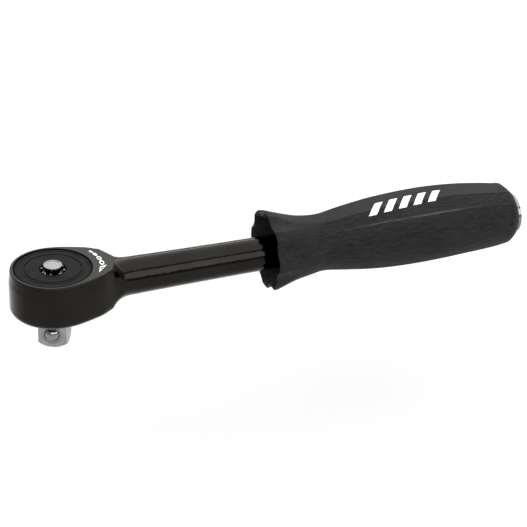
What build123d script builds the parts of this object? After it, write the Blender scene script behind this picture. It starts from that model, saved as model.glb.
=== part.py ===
from build123d import *
import os
from math import cos, hypot, radians, sin, sqrt

# Reversible 3/8 inch ratchet wrench: a pear-shaped head with a disc selector and a push-button socket
# release, a turned shank, and a faceted moulded grip with a domed metal end cap.
#
# Millimetres. The origin is the centre of the drive square in the plane of the shoulder that a socket
# seats against. +Z points up through the selector dial, and +X runs along the handle.

# ---------------------------------------------------------------- driving dimensions
# Head and neck
HEAD_R = 14.65
HEAD_BOTTOM = 0.6
HEAD_TOP = 16.5
TOP_SLOPE = (0.5, 4.5)
TOP_EDGE_R = 0.45
BOTTOM_EDGE_R = 2.7
# half of the plan of the head and neck, from the head's full width to the shank's, as (x, y)
HEAD_CURVE = ((11.4, 11.95), (15.1, 10.3), (18.2, 8.2), (20.5, 7.2), (23.0, 6.72), (27.0, 6.6))
NECK_EDGE_R = 3.0

# Shank: (distance from the drive axis, radius)
AXIS_Z = 8.75
SHANK_START = 25.6
SHANK_START_R = 6.52
SHANK_CURVE = ((SHANK_START, SHANK_START_R), (40.0, 6.25), (54.0, 6.06), (72.0, 5.9))
SHANK_R = SHANK_CURVE[-1][1]
FLARE_R = 9.0
SHANK_END = 91.0
TANG_R = 4.2
TANG_FLATS = 7.0
TANG_END = 160.0
THREAD_R = 3.0
THREAD_END = 167.2

# Drive gear and square
SQUARE = 9.53
SQUARE_LENGTH = 11.0
SQUARE_CORNER_R = 0.5
SQUARE_HEADING = -117.0
TIP_R = 4.9
TIP_DOME_R = 8.9
JOURNAL_R = 7.7
GEAR_TEETH = 72
GEAR_TIP_R = 10.2
GEAR_ROOT_R = 9.75
GEAR_BOTTOM = 4.15
GEAR_TOP = 11.9
BOSS_R = 4.93
BOSS_TOP = 15.1
RUNNING_GAP = 0.05
SPRING_GAP = 0.1
SEAL_R = 0.4
SEAL_GROOVE_R = 6.9
SEAL_GROOVE = (1.9, 2.75)

# Lock ball and release pin
BALL_R = 2.75
BALL_PROUD = 1.6
BALL_HEIGHT = 4.65
BALL_GAP = 0.05
BALL_TRAVEL = 1.25
STAKE_R = 3.15
STAKE_WIDTH = 0.35
STAKE_DEPTH = 0.3
LIP_LENGTH = 0.35
LIP_GAP = 0.12
PIN_R = 1.9
PIN_BOTTOM = -7.3
PIN_BORE_BOTTOM = -10.0
PIN_PRESS = 2.2
PIN_CHAMFER = 0.3
BUTTON_R = 3.15
BUTTON_TOP = 17.8
BUTTON_RIM = 0.55
BUTTON_EDGE_R = 0.25
BUTTON_DISH_R = 2.55
BUTTON_DISH_DEPTH = 0.12
BUTTON_NECK_R = 2.5
BUTTON_TRAVEL = 2.5
BUTTON_FLANGE_R = 3.5
BUTTON_FLANGE = (12.9, 14.55)
SPRING_FLOOR = 7.0
RELEASE_WIRE = 0.5
RETAINER_R = 4.2
RETAINER_HOLE_R = 3.3
RETAINER_Z = 14.65
RETAINER_THICK = 0.4
RETAINER_TABS = 8
TAB_R = 0.42
TAB_RADIUS = 3.7
TAB_TOP = 16.2

# Chamber, dial and its retaining ring
CHAMBER_R = 10.55
CHAMBER_FLOOR = 3.6
DIAL_BORE_R = 13.2
DIAL_FLOOR = 13.9
DIAL_R = 12.72
DIAL_BOTTOM = 14.0
DIAL_TOP = 16.3
DIAL_FLANGE_TOP = 15.3
DIAL_HUB_R = 8.3
DIAL_HUB_BOTTOM = 12.4
DIAL_TURN = 36.0
DIAL_EDGE = 0.25
DIAL_MOUTH_R = 4.35
DIAL_MOUTH_EDGE = 0.3
DIAL_GROOVE_R = 9.4
DIAL_GROOVE_WIDTH = 0.4
DIAL_GROOVE_DEPTH = 0.3
DIAL_RECESS = (10.2, 11.9)
DIAL_RECESS_DEPTH = 0.12
RING_GROOVE = (15.35, 15.85)
RING_GROOVE_R = 13.6
SNAP_RING_PLAY = 0.03
SNAP_RING_INNER_R = 12.84
SNAP_RING_GAP = 4.0

# Pawls, their pins and the cam stud that lifts one of them
PAWL_PIVOT = (14.4, 4.0)
PAWL_EYE_R = 2.2
PAWL_PIN_R = 1.15
PAWL_LIFT = 8.0
PAWL_BOTTOM = 3.8
PAWL_TOP = 11.6
PAWL_OUTER_R = 12.0
PAWL_TOOTH_ANGLE = 40.0
PAWL_TOOTH_END = 52.0
PAWL_INNER = 1.12
PAWL_NOSE = (9.3, -1.6)
PAWL_SHOULDER = (1.2, -2.1)
PAWL_MESH_GAP = 0.05
PAWL_PIN_TOP = 13.05
PAWL_TAIL = ((14.4, 1.9), (17.4, 1.9), (17.4, 3.8), (14.4, 5.4))
POCKET_R = 13.45
POCKET_HALF_ANGLE = 60.0
POCKET_END = 18.4
POCKET_CORNERS = ((9.0, 9.9), (13.4, 8.9), (17.0, 7.0), (POCKET_END, 5.4))
POCKET_TOP = 11.8
STUD_RADIUS = 11.6
STUD_R = 0.85
STUD_BOTTOM = 8.2
STUD_PRESS = 1.5
STUD_CHAMFER = 0.2
STUD_WINDOW_GAP = 0.45
STUD_WINDOW_SPARE = 12.0

# Plunger that spreads the pawl tails, and the pin behind its spring
PLUNGER_R = 1.4
PLUNGER_NOSE_X = 15.9
PLUNGER_TAIL_X = 22.0
PLUNGER_TRAVEL = 0.6
PLUNGER_FLAT = 0.7
PLUNGER_BORE_END = 25.2
STOP_PIN_X = 19.7
STOP_PIN_R = 1.1
STOP_PIN_WALL = 0.4
STOP_PIN_SLOT = 0.3
STOP_PIN_TILT = 37.0
STOP_PIN_LENGTH = 5.0
PLUNGER_WIRE = 0.4

# Detent under the dial
DETENT_RADIUS = 11.9
DETENT_R = 0.85
DETENT_FLOOR = 9.0
DETENT_DIMPLE = 0.35
DETENT_PROUD = 0.06
DETENT_WIRE = 0.3

# Grip: (distance from the drive axis, radius, strength of the facets, rise of the centre)
GRIP_START = 75.0
GRIP_STATIONS = (
    (75.0, 14.2, 0.1, 0.95),
    (77.0, 13.9, 0.12, 0.95),
    (80.4, 12.75, 0.15, 0.8),
    (84.2, 11.55, 0.2, 0.57),
    (88.0, 10.7, 0.3, 0.35),
    (95.0, 9.97, 0.6, 0.57),
    (104.0, 11.15, 1.0, 0.72),
    (113.0, 12.33, 1.0, 0.75),
    (123.0, 13.02, 1.0, 0.78),
    (135.0, 13.2, 1.0, 0.85),
    (147.0, 12.65, 1.0, 0.74),
    (157.0, 11.82, 1.0, 0.3),
    (162.0, 11.2, 0.9, 0.12),
    (165.4, 10.6, 0.7, 0.15),
    (167.6, 8.95, 0.4, -0.1),
    (168.6, 7.6, 0.2, -0.4),
)
# Spans between the ridges, as angles from straight up, and how far each span's middle is drawn in
GRIP_SPANS = (
    (-20.0, 20.0, 0.054),
    (20.0, 45.0, 0.021),
    (45.0, 135.0, 0.03),
    (135.0, 160.0, 0.021),
    (160.0, 200.0, 0.054),
    (200.0, 225.0, 0.021),
    (225.0, 315.0, 0.03),
    (315.0, 340.0, 0.021),
)
FLUTES = 8
FLUTE_R = 6.0
FLUTE_LINE = ((73.0, 19.0, 0.95), (93.0, 16.1, 0.5))
CUP_MOUTH_R = 11.1
CUP_FLOOR_R = 7.2
CUP_FLOOR_X = 87.0
CORE_START = 88.0
CORE_END = 160.0
CORE_R = 7.6
RIB_HEIGHT = 1.3
RIB_WIDTH = 2.4
RIBS = 4
RIB_START = 106.0
RIB_TURN = 45.0

# Rear fastening and end cap
REAR_POCKET = (6.6, 166.4)
WASHER_R = 6.4
WASHER_THICK = 1.2
NUT_FLATS = 10.0
NUT_THICK = 5.0
NUT_CHAMFER = 0.4
CAP_R = 6.85
CAP_WALL = 0.7
CAP_START = 166.5
CAP_RIM_X = 170.2
CAP_DOME = 1.4
CAP_EDGE = 0.2
CAP_DROP = 0.45

HANDLE_AXIS = Axis((0, 0, AXIS_Z), (1, 0, 0))
CAP_Z = AXIS_Z - CAP_DROP
CAP_AXIS = Axis((0, 0, CAP_Z), (1, 0, 0))
BALL_Z = BALL_HEIGHT - SQUARE_LENGTH
BALL_SEAT = SQUARE / 2 + BALL_PROUD - BALL_R
TILT = radians(STOP_PIN_TILT)
stop_plane = Plane(origin=(STOP_PIN_X, 0, AXIS_Z), x_dir=(1, 0, 0), z_dir=(0, -cos(TILT), sin(TILT)))


# ---------------------------------------------------------------- helpers
def polar(radius, angle):
    """A point on a circle round the drive axis, with the angle in degrees from +X."""
    return (radius * cos(radians(angle)), radius * sin(radians(angle)))


def lip_radius(depth):
    """How wide the ball's bore is at a distance from the drive axis where its staked lip clears the ball."""
    return sqrt(BALL_R**2 - (depth - BALL_SEAT) ** 2) + LIP_GAP


def gear_outline(clearance=0.0):
    """The vertices of the ratchet gear's symmetric teeth, with a tooth centred on +X."""
    points = []
    for step in range(2 * GEAR_TEETH):
        radius = GEAR_TIP_R if step % 2 == 0 else GEAR_ROOT_R
        points.append(polar(radius + clearance, 180.0 * step / GEAR_TEETH))
    return points


def pawl_point(along, inward):
    """A point of a pawl in mesh, from its pivot: along the arm, and inward towards the gear."""
    tooth_x, tooth_y = polar(GEAR_TIP_R, PAWL_TOOTH_ANGLE)
    reach = hypot(tooth_x - PAWL_PIVOT[0], tooth_y - PAWL_PIVOT[1])
    ux = (tooth_x - PAWL_PIVOT[0]) / reach
    uy = (tooth_y - PAWL_PIVOT[1]) / reach
    return (PAWL_PIVOT[0] + along * ux - inward * uy, PAWL_PIVOT[1] + along * uy + inward * ux)


def coil_spring(foot, axis, radius, wire, length, turns):
    """A helical compression spring that runs from the middle of its first coil along an axis."""
    with BuildPart() as coil:
        with BuildLine() as path:
            Helix(pitch=length / turns, height=length, radius=radius, center=foot, direction=axis)
        with BuildSketch(Plane(origin=path.line @ 0, z_dir=path.line % 0)):
            Circle(wire / 2)
        sweep(is_frenet=True)
    return coil.part


def turned(profile):
    """A solid turned about the handle axis from (distance, radius) corners, closed on the axis."""
    with BuildPart() as body:
        with BuildSketch(Plane.XZ):
            with BuildLine():
                corners = [(profile[0][0], 0.0), *profile, (profile[-1][0], 0.0)]
                Polyline([(x, AXIS_Z + r) for x, r in corners], close=True)
            make_face()
        revolve(axis=HANDLE_AXIS)
    return body.part


def turned_ring(start, thick, inner, outer):
    """A plain washer round the handle axis."""
    with BuildPart() as body:
        with BuildSketch(Plane.YZ.offset(start)):
            with Locations((0, AXIS_Z)):
                Circle(outer)
                Circle(inner, mode=Mode.SUBTRACT)
        extrude(amount=thick)
    return body.part


def grip_point(angle, radius, rise):
    """A point of a cross-section of the grip, with the angle in degrees from straight up."""
    return (radius * sin(radians(angle)), AXIS_Z + rise + radius * cos(radians(angle)))


def ring(inner, outer, bottom, top):
    """A plain washer round the drive axis."""
    with BuildPart() as body:
        with BuildSketch(Plane.XY.offset(bottom)):
            Circle(outer)
            Circle(inner, mode=Mode.SUBTRACT)
        extrude(amount=top - bottom)
    return body.part


def save(part, name):
    """Labels a finished piece and writes it as its own file."""
    part.label = name
    export_step(part, f"parts/{name}.step")


os.makedirs("parts", exist_ok=True)

# ---------------------------------------------------------------- head, shank and tang (one forging)
with BuildSketch() as head_plan:
    with BuildLine():
        ThreePointArc((0, HEAD_R), (-HEAD_R, 0), (0, -HEAD_R))
        for side in (1, -1):
            Spline((0, side * HEAD_R), *[(x, side * y) for x, y in HEAD_CURVE], tangents=[(1, 0), (1, 0)])
        Line(HEAD_CURVE[-1], (HEAD_CURVE[-1][0], -HEAD_CURVE[-1][1]))
    make_face()

with BuildPart() as head_shank:
    with BuildSketch(Plane.XY.offset(HEAD_BOTTOM)):
        add(head_plan.sketch)
    extrude(amount=HEAD_TOP - HEAD_BOTTOM)
    # the sides lean in a little towards the top
    chamfer(head_shank.edges().group_by(Axis.Z)[-1], length=TOP_SLOPE[0], length2=TOP_SLOPE[1],
            reference=head_shank.faces().sort_by(Axis.Z)[-1])
    fillet(head_shank.edges().group_by(Axis.Z)[-1], TOP_EDGE_R)
    fillet(head_shank.edges().group_by(Axis.Z)[0], BOTTOM_EDGE_R)
    # the neck is turned down to the shank with a concave flare
    with BuildSketch(Plane.XZ):
        with BuildLine():
            flare_foot = (SHANK_START, AXIS_Z + SHANK_START_R)
            flare_top = (SHANK_START - FLARE_R, flare_foot[1] + FLARE_R)
            TangentArc(flare_foot, flare_top, tangent=(-1, 0))
            Polyline(flare_top, (flare_top[0], 3 * HEAD_R), (-2 * HEAD_R, 3 * HEAD_R), (-2 * HEAD_R, AXIS_Z),
                     (SHANK_START, AXIS_Z), flare_foot)
        make_face()
    revolve(axis=HANDLE_AXIS, mode=Mode.INTERSECT)
    # soften the two edges where the neck's sides run out into the flare
    fillet(head_shank.edges().filter_by(GeomType.BSPLINE).sort_by(Axis.X)[-2:], NECK_EDGE_R)
    # the shank, and the tang inside the grip
    with BuildSketch(Plane.XZ):
        with BuildLine():
            Spline([(x, AXIS_Z + r) for x, r in SHANK_CURVE], tangents=[(1, -0.02), (1, -0.004)])
            Polyline((SHANK_CURVE[-1][0], AXIS_Z + SHANK_R), (SHANK_END, AXIS_Z + SHANK_R),
                     (SHANK_END, AXIS_Z + TANG_R), (TANG_END, AXIS_Z + TANG_R),
                     (TANG_END, AXIS_Z + THREAD_R), (THREAD_END, AXIS_Z + THREAD_R),
                     (THREAD_END, AXIS_Z), (SHANK_START, AXIS_Z), flare_foot)
        make_face()
    revolve(axis=HANDLE_AXIS)
    # two flats on the tang keep the grip from turning
    with BuildSketch(Plane.YZ.offset(SHANK_END)):
        with Locations((0, AXIS_Z + TANG_FLATS / 2 + TANG_R), (0, AXIS_Z - TANG_FLATS / 2 - TANG_R)):
            Rectangle(4 * TANG_R, 2 * TANG_R)
    extrude(amount=TANG_END - SHANK_END, mode=Mode.SUBTRACT)
    # bore for the lower journal, gear chamber, dial counterbore and groove for its ring
    for bottom, top, radius in (
        (HEAD_BOTTOM - 1, CHAMBER_FLOOR, JOURNAL_R + RUNNING_GAP),
        (CHAMBER_FLOOR, DIAL_FLOOR, CHAMBER_R),
        (DIAL_FLOOR, HEAD_TOP + 1, DIAL_BORE_R),
        (RING_GROOVE[0], RING_GROOVE[1], RING_GROOVE_R),
    ):
        with BuildSketch(Plane.XY.offset(bottom)):
            Circle(radius)
        extrude(amount=top - bottom, mode=Mode.SUBTRACT)
    # pawl pocket, undercut from the chamber towards the neck
    with BuildSketch(Plane.XY.offset(CHAMBER_FLOOR)):
        Circle(POCKET_R)
        with BuildLine():
            Polyline(*POCKET_CORNERS, *[(x, -y) for x, y in reversed(POCKET_CORNERS)], close=True)
        make_face()
        with BuildLine():
            Polyline((0, 0), polar(3 * HEAD_R, POCKET_HALF_ANGLE), polar(3 * HEAD_R, -POCKET_HALF_ANGLE),
                     close=True)
        make_face(mode=Mode.INTERSECT)
    extrude(amount=POCKET_TOP - CHAMBER_FLOOR, mode=Mode.SUBTRACT)
    # window in the shelf that the cam stud sweeps
    with BuildSketch(Plane.XY.offset(POCKET_TOP)):
        Circle(STUD_RADIUS + STUD_R + STUD_WINDOW_GAP)
        with BuildLine():
            window_angle = DIAL_TURN / 2 + STUD_WINDOW_SPARE
            Polyline((0, 0), polar(2 * HEAD_R, window_angle), polar(2 * HEAD_R, -window_angle), close=True)
        make_face(mode=Mode.INTERSECT)
    extrude(amount=DIAL_FLOOR - POCKET_TOP, mode=Mode.SUBTRACT)
    # holes for the two pawl pins, drilled from below and blind in the shelf
    with BuildSketch(Plane.XY.offset(HEAD_BOTTOM - 1)):
        with Locations(PAWL_PIVOT, (PAWL_PIVOT[0], -PAWL_PIVOT[1])):
            Circle(PAWL_PIN_R)
    extrude(amount=PAWL_PIN_TOP + RUNNING_GAP - HEAD_BOTTOM + 1, mode=Mode.SUBTRACT)
    # blind bore for the plunger and its spring, along the neck
    with BuildSketch(Plane.YZ.offset(POCKET_CORNERS[0][0])):
        with Locations((0, AXIS_Z)):
            Circle(PLUNGER_R + RUNNING_GAP)
    extrude(amount=PLUNGER_BORE_END - POCKET_CORNERS[0][0], mode=Mode.SUBTRACT)
    # cross hole for the stop pin, from the near shoulder down into the plunger's bore
    with BuildSketch(stop_plane.offset(PLUNGER_FLAT + RUNNING_GAP)):
        Circle(STOP_PIN_R)
    extrude(amount=HEAD_R, mode=Mode.SUBTRACT)
    # blind hole for the dial's detent
    with BuildSketch(Plane.XY.offset(DETENT_FLOOR)):
        with Locations((-DETENT_RADIUS, 0)):
            Circle(DETENT_R + RUNNING_GAP)
    extrude(amount=DIAL_FLOOR - DETENT_FLOOR, mode=Mode.SUBTRACT)
save(head_shank.part, "head_shank")

# ---------------------------------------------------------------- drive gear and square (one piece)
square_plane = Plane(origin=(0, 0, 0), x_dir=(*polar(1, SQUARE_HEADING), 0), z_dir=(0, 0, 1))
ball_plane = Plane(origin=(0, 0, BALL_Z), z_dir=(*polar(1, SQUARE_HEADING), 0))

with BuildPart() as drive_gear:
    # the square, with a tip turned to a shallow dome that ends in a flat
    with BuildSketch(square_plane):
        RectangleRounded(SQUARE, SQUARE, SQUARE_CORNER_R)
    extrude(amount=-SQUARE_LENGTH)
    with Locations((0, 0, sqrt(TIP_DOME_R**2 - TIP_R**2) - SQUARE_LENGTH)):
        Sphere(TIP_DOME_R, mode=Mode.INTERSECT)
    with BuildSketch(Plane.XY.offset(GEAR_BOTTOM)):
        with BuildLine():
            Polyline(gear_outline(), close=True)
        make_face()
    extrude(amount=GEAR_TOP - GEAR_BOTTOM)
    with BuildSketch():
        Circle(JOURNAL_R)
    extrude(amount=GEAR_BOTTOM)
    with BuildSketch(Plane.XY.offset(GEAR_TOP)):
        Circle(BOSS_R)
    extrude(amount=BOSS_TOP - GEAR_TOP)
    # groove for the dust seal, and the bores for pin, button and retainer
    with BuildSketch(Plane.XY.offset(SEAL_GROOVE[0])):
        Circle(JOURNAL_R + 1)
        Circle(SEAL_GROOVE_R, mode=Mode.SUBTRACT)
    extrude(amount=SEAL_GROOVE[1] - SEAL_GROOVE[0], mode=Mode.SUBTRACT)
    for bottom, radius in (
        (PIN_BORE_BOTTOM, PIN_R + RUNNING_GAP),
        (SPRING_FLOOR, BUTTON_FLANGE_R + RUNNING_GAP),
        (RETAINER_Z, RETAINER_R),
    ):
        with BuildSketch(Plane.XY.offset(bottom)):
            Circle(radius)
        extrude(amount=BOSS_TOP - bottom, mode=Mode.SUBTRACT)
    # bore for the lock ball, narrowed by staking just inside the face
    with BuildSketch(Plane(origin=ball_plane.origin, x_dir=ball_plane.z_dir, z_dir=(0, 0, 1))):
        Polygon(
            (0, 0),
            (0, BALL_R + BALL_GAP),
            (BALL_SEAT + BALL_GAP, BALL_R + BALL_GAP),
            (SQUARE / 2 - LIP_LENGTH, lip_radius(SQUARE / 2 - LIP_LENGTH)),
            (SQUARE / 2, lip_radius(SQUARE / 2)),
            (SQUARE / 2 + LIP_LENGTH, lip_radius(SQUARE / 2)),
            (SQUARE / 2 + LIP_LENGTH, 0),
            align=None,
        )
    revolve(axis=Axis(ball_plane.origin, ball_plane.z_dir), mode=Mode.SUBTRACT)
    # shallow ring left in the face by the staking tool
    with BuildSketch(ball_plane.offset(SQUARE / 2)):
        Circle(STAKE_R + STAKE_WIDTH / 2)
        Circle(STAKE_R - STAKE_WIDTH / 2, mode=Mode.SUBTRACT)
    extrude(amount=-STAKE_DEPTH, mode=Mode.SUBTRACT)
save(drive_gear.part, "drive_gear")

# ---------------------------------------------------------------- washers and dust seal
save(ring(JOURNAL_R + 0.25, GEAR_ROOT_R, CHAMBER_FLOOR, GEAR_BOTTOM - RUNNING_GAP), "lower_thrust_washer")
save(ring(BOSS_R + RUNNING_GAP, DIAL_HUB_R, GEAR_TOP, DIAL_HUB_BOTTOM - RUNNING_GAP), "upper_thrust_washer")

with BuildPart() as dust_seal:
    with BuildSketch(Plane.XZ):
        with Locations((SEAL_GROOVE_R + SEAL_R, sum(SEAL_GROOVE) / 2)):
            Circle(SEAL_R)
    revolve(axis=Axis.Z)
save(dust_seal.part, "dust_seal")

# ---------------------------------------------------------------- selector dial, cam stud and ring
with BuildPart() as selector_dial:
    for bottom, top, radius in (
        (DIAL_HUB_BOTTOM, DIAL_BOTTOM, DIAL_HUB_R),
        (DIAL_BOTTOM, DIAL_FLANGE_TOP, DIAL_BORE_R - RUNNING_GAP),
        (DIAL_FLANGE_TOP, DIAL_TOP, DIAL_R),
    ):
        with BuildSketch(Plane.XY.offset(bottom)):
            Circle(radius)
        extrude(amount=top - bottom)
    chamfer(selector_dial.edges().group_by(Axis.Z)[-1], DIAL_EDGE)
    with BuildSketch(Plane.XY.offset(DIAL_TOP)):
        Circle(DIAL_RECESS[1])
        Circle(DIAL_RECESS[0], mode=Mode.SUBTRACT)
    extrude(amount=-DIAL_RECESS_DEPTH, mode=Mode.SUBTRACT)
    with BuildSketch(Plane.XY.offset(DIAL_TOP)):
        Circle(DIAL_GROOVE_R + DIAL_GROOVE_WIDTH / 2)
        Circle(DIAL_GROOVE_R - DIAL_GROOVE_WIDTH / 2, mode=Mode.SUBTRACT)
    extrude(amount=-DIAL_GROOVE_DEPTH, mode=Mode.SUBTRACT)
    # bore for the gear's boss, and the narrower mouth round the button
    Hole(DIAL_MOUTH_R)
    chamfer(selector_dial.faces().sort_by(Axis.Z)[-1].inner_wires()[0].edges(), DIAL_MOUTH_EDGE)
    with BuildSketch(Plane.XY.offset(DIAL_HUB_BOTTOM)):
        Circle(BOSS_R + RUNNING_GAP)
    extrude(amount=BOSS_TOP + RUNNING_GAP - DIAL_HUB_BOTTOM, mode=Mode.SUBTRACT)
    # the two dimples for the detent under the dial
    for angle in (180.0, 180.0 + DIAL_TURN):
        with Locations((*polar(DETENT_RADIUS, angle), DIAL_FLOOR - DETENT_R + DETENT_DIMPLE)):
            Sphere(DETENT_R + RUNNING_GAP, mode=Mode.SUBTRACT)
    # hole for the cam stud
    with BuildSketch(Plane.XY.offset(DIAL_BOTTOM)):
        with Locations(polar(STUD_RADIUS, DIAL_TURN / 2)):
            Circle(STUD_R)
    extrude(amount=STUD_PRESS, mode=Mode.SUBTRACT)
save(selector_dial.part, "selector_dial")

with BuildPart() as cam_stud:
    with BuildSketch(Plane.XY.offset(STUD_BOTTOM)):
        with Locations(polar(STUD_RADIUS, DIAL_TURN / 2)):
            Circle(STUD_R)
    extrude(amount=DIAL_BOTTOM + STUD_PRESS - STUD_BOTTOM)
    chamfer(cam_stud.edges().group_by(Axis.Z)[0], STUD_CHAMFER)
save(cam_stud.part, "cam_stud")

with BuildPart() as dial_snap_ring:
    with BuildSketch(Plane.XY.offset(RING_GROOVE[0] + SNAP_RING_PLAY)):
        Circle(RING_GROOVE_R - SNAP_RING_PLAY)
        Circle(SNAP_RING_INNER_R, mode=Mode.SUBTRACT)
        with Locations((-DIAL_BORE_R, 0)):
            Rectangle(SNAP_RING_GAP, SNAP_RING_GAP, mode=Mode.SUBTRACT)
    extrude(amount=RING_GROOVE[1] - RING_GROOVE[0] - 2 * SNAP_RING_PLAY)
save(dial_snap_ring.part, "dial_snap_ring")

# ---------------------------------------------------------------- release button, pin, spring, retainer
with BuildPart() as release_button:
    with BuildSketch(Plane.XY.offset(BUTTON_FLANGE[0])):
        Circle(BUTTON_FLANGE_R)
    extrude(amount=BUTTON_FLANGE[1] - BUTTON_FLANGE[0])
    with BuildSketch(Plane.XY.offset(BUTTON_FLANGE[1])):
        Circle(BUTTON_NECK_R)
    extrude(amount=BUTTON_TOP - BUTTON_RIM - BUTTON_FLANGE[1])
    with BuildSketch(Plane.XY.offset(BUTTON_TOP - BUTTON_RIM)):
        Circle(BUTTON_R)
    extrude(amount=BUTTON_RIM)
    fillet(release_button.edges().group_by(Axis.Z)[-1], BUTTON_EDGE_R)
    with BuildSketch(Plane.XY.offset(BUTTON_TOP)):
        Circle(BUTTON_DISH_R)
    extrude(amount=-BUTTON_DISH_DEPTH, mode=Mode.SUBTRACT)
    with BuildSketch(Plane.XY.offset(BUTTON_FLANGE[0])):
        Circle(PIN_R)
    extrude(amount=PIN_PRESS, mode=Mode.SUBTRACT)
save(release_button.part, "release_button")

# The pin carries a slanting scoop: shallow beside the ball at rest, deep above it, so that pressing the
# button lets the ball sink by BALL_TRAVEL.
scoop_low = ball_plane.origin + ball_plane.z_dir * BALL_SEAT
scoop_high = ball_plane.origin + ball_plane.z_dir * (BALL_SEAT - BALL_TRAVEL) + Vector(0, 0, BUTTON_TRAVEL)
scoop_run = scoop_high - scoop_low

with BuildPart() as release_pin:
    with BuildSketch(Plane.XY.offset(PIN_BOTTOM)):
        Circle(PIN_R)
    extrude(amount=BUTTON_FLANGE[0] + PIN_PRESS - PIN_BOTTOM)
    chamfer(release_pin.edges().group_by(Axis.Z)[0], PIN_CHAMFER)
    with BuildSketch(Plane(origin=scoop_low, z_dir=scoop_run)):
        Circle(BALL_R + BALL_GAP)
    extrude(amount=scoop_run.length, mode=Mode.SUBTRACT)
    with Locations(scoop_low, scoop_high):
        Sphere(BALL_R + BALL_GAP, mode=Mode.SUBTRACT)
save(release_pin.part, "release_pin")

save(
    coil_spring(
        (0, 0, SPRING_FLOOR + RELEASE_WIRE / 2 + SPRING_GAP),
        (0, 0, 1),
        (PIN_R + BUTTON_FLANGE_R) / 2,
        RELEASE_WIRE,
        BUTTON_FLANGE[0] - SPRING_FLOOR - RELEASE_WIRE - 2 * SPRING_GAP,
        5,
    ),
    "release_spring",
)

with BuildPart() as button_retainer:
    with BuildSketch(Plane.XY.offset(RETAINER_Z)):
        Circle(RETAINER_R)
        Circle(RETAINER_HOLE_R, mode=Mode.SUBTRACT)
    extrude(amount=RETAINER_THICK)
    with BuildSketch(Plane.XY.offset(RETAINER_Z)):
        with PolarLocations(TAB_RADIUS, RETAINER_TABS, start_angle=SQUARE_HEADING):
            Circle(TAB_R)
    extrude(amount=TAB_TOP - RETAINER_Z)
    chamfer(button_retainer.edges().group_by(Axis.Z)[-1], TAB_R / 3)
save(button_retainer.part, "button_retainer")

with BuildPart() as lock_ball:
    with Locations(scoop_low):
        Sphere(BALL_R)
save(lock_ball.part, "lock_ball")

# ---------------------------------------------------------------- pawls and pawl pins
with BuildSketch() as pawl_outline:
    with BuildLine():
        Polyline(
            pawl_point(0, PAWL_INNER),
            pawl_point(PAWL_NOSE[0], PAWL_INNER),
            pawl_point(*PAWL_NOSE),
            polar(PAWL_OUTER_R, PAWL_TOOTH_END),
            pawl_point(*PAWL_SHOULDER),
            close=True,
        )
    make_face()
    # teeth cut to the gear's own shape
    with BuildLine():
        Polyline(gear_outline(PAWL_MESH_GAP), close=True)
    make_face(mode=Mode.SUBTRACT)
    with Locations(PAWL_PIVOT):
        Circle(PAWL_EYE_R)
    with BuildLine():
        Polyline(PAWL_TAIL, close=True)
    make_face()
    with Locations(PAWL_PIVOT):
        Circle(PAWL_PIN_R + RUNNING_GAP, mode=Mode.SUBTRACT)

# The pawl on the -Y side is in mesh; the one on the +Y side stands lifted off the gear by the cam stud.
with BuildPart() as pawl_tighten:
    with BuildSketch(Plane.XY.offset(PAWL_BOTTOM)):
        add(mirror(pawl_outline.sketch, about=Plane.XZ))
    extrude(amount=PAWL_TOP - PAWL_BOTTOM)
save(pawl_tighten.part, "pawl_tighten")

with BuildPart() as pawl_loosen:
    with BuildSketch(Plane.XY.offset(PAWL_BOTTOM)):
        add(pawl_outline.sketch)
    extrude(amount=PAWL_TOP - PAWL_BOTTOM)
lifted = pawl_loosen.part.rotate(Axis((*PAWL_PIVOT, 0), (0, 0, 1)), -PAWL_LIFT)
save(lifted, "pawl_loosen")

for name, side in (("pawl_pin_tighten", -1), ("pawl_pin_loosen", 1)):
    with BuildPart() as pawl_pin:
        with BuildSketch(Plane.XY.offset(HEAD_BOTTOM + 0.2)):
            with Locations((PAWL_PIVOT[0], side * PAWL_PIVOT[1])):
                Circle(PAWL_PIN_R)
        extrude(amount=PAWL_PIN_TOP - HEAD_BOTTOM - 0.2)
    save(pawl_pin.part, name)

# ---------------------------------------------------------------- plunger, its spring and the stop pin
with BuildPart() as pawl_plunger:
    with BuildSketch(Plane.XZ):
        with BuildLine():
            nose_end = (PLUNGER_NOSE_X + PLUNGER_R, AXIS_Z + PLUNGER_R)
            Polyline((PLUNGER_NOSE_X, AXIS_Z), (PLUNGER_TAIL_X, AXIS_Z), (PLUNGER_TAIL_X, nose_end[1]),
                     nose_end)
            TangentArc(nose_end, (PLUNGER_NOSE_X, AXIS_Z), tangent=(-1, 0))
        make_face()
    revolve(axis=HANDLE_AXIS)
    # flat that the stop pin reaches into, long enough for the plunger's travel
    with BuildSketch(stop_plane.offset(PLUNGER_FLAT)):
        with Locations((-PLUNGER_TRAVEL / 2, 0)):
            Rectangle(2 * (STOP_PIN_R + SPRING_GAP) + PLUNGER_TRAVEL, 4 * PLUNGER_R)
    extrude(amount=PLUNGER_R, mode=Mode.SUBTRACT)
save(pawl_plunger.part, "pawl_plunger")

plunger_spring_start = PLUNGER_TAIL_X + PLUNGER_WIRE / 2 + SPRING_GAP
plunger_spring_end = PLUNGER_BORE_END - PLUNGER_WIRE / 2 - SPRING_GAP
save(
    coil_spring(
        (plunger_spring_start, 0, AXIS_Z),
        (1, 0, 0),
        PLUNGER_R - PLUNGER_WIRE / 2,
        PLUNGER_WIRE,
        plunger_spring_end - plunger_spring_start,
        4,
    ),
    "plunger_spring",
)

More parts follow.
